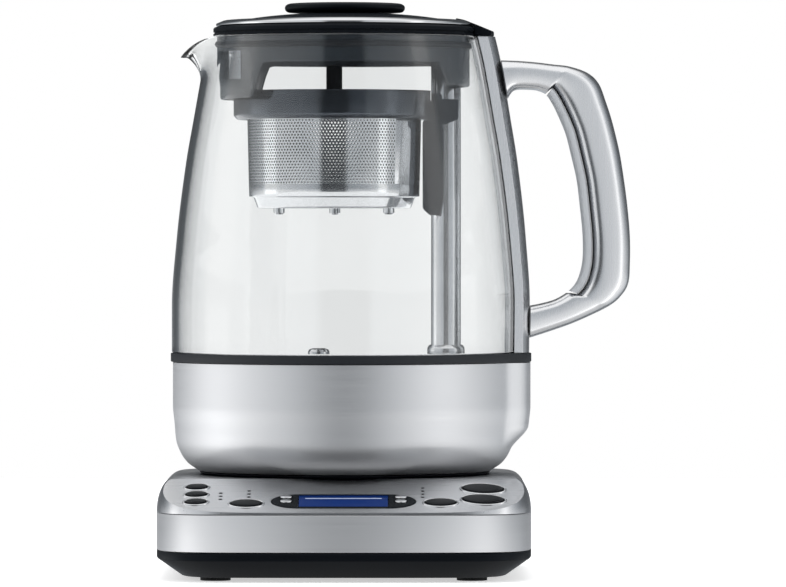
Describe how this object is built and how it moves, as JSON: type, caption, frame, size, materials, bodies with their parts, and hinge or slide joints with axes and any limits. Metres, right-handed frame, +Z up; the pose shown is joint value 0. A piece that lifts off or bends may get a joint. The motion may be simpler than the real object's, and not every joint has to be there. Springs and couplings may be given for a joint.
{
  "type": "automatic tea maker",
  "caption": "Electric tea maker: a glass and steel jug on a powered base with sloping controls, and a perforated basket that a screw drive lifts and lowers inside.",
  "frame": {"origin": "middle of the whole object's outline, on the surface that it stands on", "axes": "+Z up; +X towards the handle; -Y the front, with the controls"},
  "size_m": [0.2204, 0.196, 0.267],
  "materials": {
    "brushed_steel": "brushed stainless steel",
    "polished_steel": "polished stainless steel",
    "black_plastic": "black moulded plastic",
    "slate_plastic": "slate-grey translucent plastic",
    "pale_plastic": "pale grey plastic",
    "glass": "clear borosilicate glass",
    "display_blue": "blue display window",
    "silicone": "dark silicone",
    "rubber": "black rubber",
    "brass": "machined brass",
    "nylon": "natural nylon",
    "circuit_board": "green circuit board",
    "magnet": "nickel-plated magnet"
  },
  "bodies": {
    "base": {"foot_front_left": "rubber", "foot_front_right": "rubber", "foot_rear_left": "rubber", "foot_rear_right": "rubber", "base_tub": "black_plastic", "base_steel_band": "brushed_steel", "base_top_panel": "brushed_steel", "seat_dish": "black_plastic", "base_connector": "black_plastic", "control_board": "circuit_board", "cord_inlet": "rubber", "display_bezel": "slate_plastic", "display_window": "display_blue", "display_module": "pale_plastic", "light_bar_left": "pale_plastic", "light_bar_right": "pale_plastic"},
    "keep_warm_button": {"keep_warm_button": "black_plastic"},
    "clock_button": {"clock_button": "black_plastic"},
    "auto_start_button": {"auto_start_button": "black_plastic"},
    "tea_type_button": {"tea_type_button": "black_plastic"},
    "strength_button": {"strength_button": "black_plastic"},
    "tea_start_button": {"tea_start_button": "black_plastic"},
    "water_start_button": {"water_start_button": "black_plastic"},
    "display_key_left_down": {"display_key_left_down": "polished_steel"},
    "display_key_left_up": {"display_key_left_up": "polished_steel"},
    "display_key_right_down": {"display_key_right_down": "polished_steel"},
    "display_key_right_up": {"display_key_right_up": "polished_steel"},
    "jug": {"jug_foot_cap": "black_plastic", "jug_connector": "black_plastic", "steel_bowl": "brushed_steel", "seal_band": "black_plastic", "heater_plate": "polished_steel", "heating_element": "brushed_steel", "temperature_sensor": "polished_steel", "drive_carrier": "brushed_steel", "drive_motor": "brushed_steel", "post_tube": "polished_steel", "post_foot": "polished_steel", "glass_jug": "glass", "handle_column": "brushed_steel", "handle": "brushed_steel", "handle_liner": "pale_plastic"},
    "screw": {"lead_screw": "polished_steel", "screw_gear": "nylon"},
    "pinion": {"motor_pinion": "brass"},
    "nut": {"magnet_nut": "magnet"},
    "basket": {"basket_collar": "slate_plastic", "basket_mesh": "polished_steel", "basket_pan": "polished_steel", "basket_bracket": "slate_plastic", "bracket_magnet": "magnet"},
    "basket_cover": {"basket_lid": "slate_plastic", "basket_lid_knob": "black_plastic"},
    "lid": {"lid_cover": "slate_plastic", "lid_knob": "black_plastic", "lid_trim_ring": "polished_steel", "lid_tab": "black_plastic", "lid_skirt": "slate_plastic", "lid_strainer": "polished_steel", "lid_seal": "silicone"}
  },
  "joints": [
    {"name": "jug_lift", "type": "slide", "parent": "base", "child": "jug", "axis": [0, 0, 1], "range_m": [0, 0.06]},
    {"name": "lid_lift", "type": "slide", "parent": "jug", "child": "lid", "axis": [0, 0, 1], "range_m": [0, 0.045]},
    {"name": "basket_slide", "type": "slide", "parent": "jug", "child": "basket", "axis": [0, 0, 1], "range_m": [-0.06, 0]},
    {"name": "basket_cover_lift", "type": "slide", "parent": "basket", "child": "basket_cover", "axis": [0, 0, 1], "range_m": [0, 0.01]},
    {"name": "nut_slide", "type": "slide", "parent": "jug", "child": "nut", "axis": [0, 0, 1], "range_m": [-0.06, 0]},
    {"name": "screw_turn", "type": "hinge", "parent": "jug", "child": "screw", "pos_m": [0.02382, 0.01, 0.17], "axis": [0, 0, 1], "range_deg": [0, 901]},
    {"name": "pinion_turn", "type": "hinge", "parent": "jug", "child": "pinion", "pos_m": [0.01032, 0.01, 0.0945], "axis": [0, 0, 1], "range_deg": [-1801, 0]},
    {"name": "keep_warm_button_press", "type": "slide", "parent": "base", "child": "keep_warm_button", "axis": [0, 0.314, -0.9494], "range_m": [0, 0.0012], "stiffness_N_per_m": 800},
    {"name": "clock_button_press", "type": "slide", "parent": "base", "child": "clock_button", "axis": [0, 0.314, -0.9494], "range_m": [0, 0.0012], "stiffness_N_per_m": 800},
    {"name": "auto_start_button_press", "type": "slide", "parent": "base", "child": "auto_start_button", "axis": [0, 0.314, -0.9494], "range_m": [0, 0.0012], "stiffness_N_per_m": 800},
    {"name": "tea_type_button_press", "type": "slide", "parent": "base", "child": "tea_type_button", "axis": [0, 0.314, -0.9494], "range_m": [0, 0.0012], "stiffness_N_per_m": 800},
    {"name": "strength_button_press", "type": "slide", "parent": "base", "child": "strength_button", "axis": [0, 0.314, -0.9494], "range_m": [0, 0.0012], "stiffness_N_per_m": 800},
    {"name": "tea_start_button_press", "type": "slide", "parent": "base", "child": "tea_start_button", "axis": [0, 0.314, -0.9494], "range_m": [0, 0.0012], "stiffness_N_per_m": 800},
    {"name": "water_start_button_press", "type": "slide", "parent": "base", "child": "water_start_button", "axis": [0, 0.314, -0.9494], "range_m": [0, 0.0012], "stiffness_N_per_m": 800},
    {"name": "display_key_left_down_press", "type": "slide", "parent": "base", "child": "display_key_left_down", "axis": [0, 0.314, -0.9494], "range_m": [0, 0.0012], "stiffness_N_per_m": 800},
    {"name": "display_key_left_up_press", "type": "slide", "parent": "base", "child": "display_key_left_up", "axis": [0, 0.314, -0.9494], "range_m": [0, 0.0012], "stiffness_N_per_m": 800},
    {"name": "display_key_right_down_press", "type": "slide", "parent": "base", "child": "display_key_right_down", "axis": [0, 0.314, -0.9494], "range_m": [0, 0.0012], "stiffness_N_per_m": 800},
    {"name": "display_key_right_up_press", "type": "slide", "parent": "base", "child": "display_key_right_up", "axis": [0, 0.314, -0.9494], "range_m": [0, 0.0012], "stiffness_N_per_m": 800}
  ],
  "couplings": [
    {"joint": "nut_slide", "follows": "basket_slide", "ratio": 1},
    {"joint": "screw_turn", "follows": "basket_slide", "rad_per_m": -261.8},
    {"joint": "pinion_turn", "follows": "basket_slide", "rad_per_m": 523.6}
  ]
}
